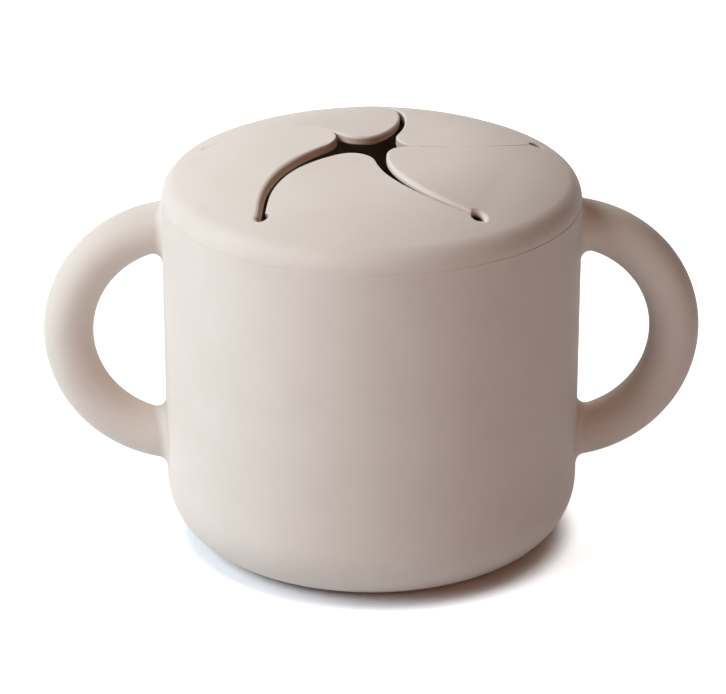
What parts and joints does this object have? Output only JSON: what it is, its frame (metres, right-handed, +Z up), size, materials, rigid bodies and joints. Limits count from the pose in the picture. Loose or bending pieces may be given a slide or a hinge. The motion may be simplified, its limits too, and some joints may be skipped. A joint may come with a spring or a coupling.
{
  "type": "toddler snack container",
  "caption": "Round silicone snack cup with two loop handles and a press-in domed lid cut into curved flaps that a small hand pushes through.",
  "frame": {"origin": "middle of the foot, on the surface that the cup stands on", "axes": "+Z up; +X through both handles, towards the right handle; +Y to the back, where one slit's stop hole lies"},
  "size_m": [0.14, 0.089, 0.0896],
  "materials": {
    "silicone_cup": "matte",
    "silicone_lid": "matte"
  },
  "bodies": {
    "cup": {"cup_shell": "silicone_cup", "handle_left": "silicone_cup", "handle_right": "silicone_cup"},
    "lid": {"lid_rim": "silicone_lid", "hinge_back_left": "silicone_lid", "hinge_left": "silicone_lid", "hinge_front": "silicone_lid", "hinge_right": "silicone_lid", "hinge_back_right": "silicone_lid"},
    "flap_back_left": {"flap_back_left": "silicone_lid"},
    "flap_left": {"flap_left": "silicone_lid"},
    "flap_front": {"flap_front": "silicone_lid"},
    "flap_right": {"flap_right": "silicone_lid"},
    "flap_back_right": {"flap_back_right": "silicone_lid"}
  },
  "joints": [
    {"name": "lid_lift", "type": "slide", "parent": "cup", "child": "lid", "axis": [0, 0, 1], "range_m": [0, 0.12]},
    {"name": "flap_back_left_bend", "type": "hinge", "parent": "lid", "child": "flap_back_left", "pos_m": [-0.01778, 0.02448, 0.08344], "axis": [-0.809, -0.5878, 0], "range_deg": [-75, 50], "stiffness_Nm_per_rad": 0.02, "deforming": ["hinge_back_left"]},
    {"name": "flap_left_bend", "type": "hinge", "parent": "lid", "child": "flap_left", "pos_m": [-0.02878, -0.00935, 0.08344], "axis": [0.309, -0.9511, 0], "range_deg": [-75, 50], "stiffness_Nm_per_rad": 0.02, "deforming": ["hinge_left"]},
    {"name": "flap_front_bend", "type": "hinge", "parent": "lid", "child": "flap_front", "pos_m": [0, -0.03026, 0.08344], "axis": [1, 0, 0], "range_deg": [-75, 50], "stiffness_Nm_per_rad": 0.02, "deforming": ["hinge_front"]},
    {"name": "flap_right_bend", "type": "hinge", "parent": "lid", "child": "flap_right", "pos_m": [0.02878, -0.00935, 0.08344], "axis": [0.309, 0.9511, 0], "range_deg": [-75, 50], "stiffness_Nm_per_rad": 0.02, "deforming": ["hinge_right"]},
    {"name": "flap_back_right_bend", "type": "hinge", "parent": "lid", "child": "flap_back_right", "pos_m": [0.01778, 0.02448, 0.08344], "axis": [-0.809, 0.5878, 0], "range_deg": [-75, 50], "stiffness_Nm_per_rad": 0.02, "deforming": ["hinge_back_right"]}
  ]
}
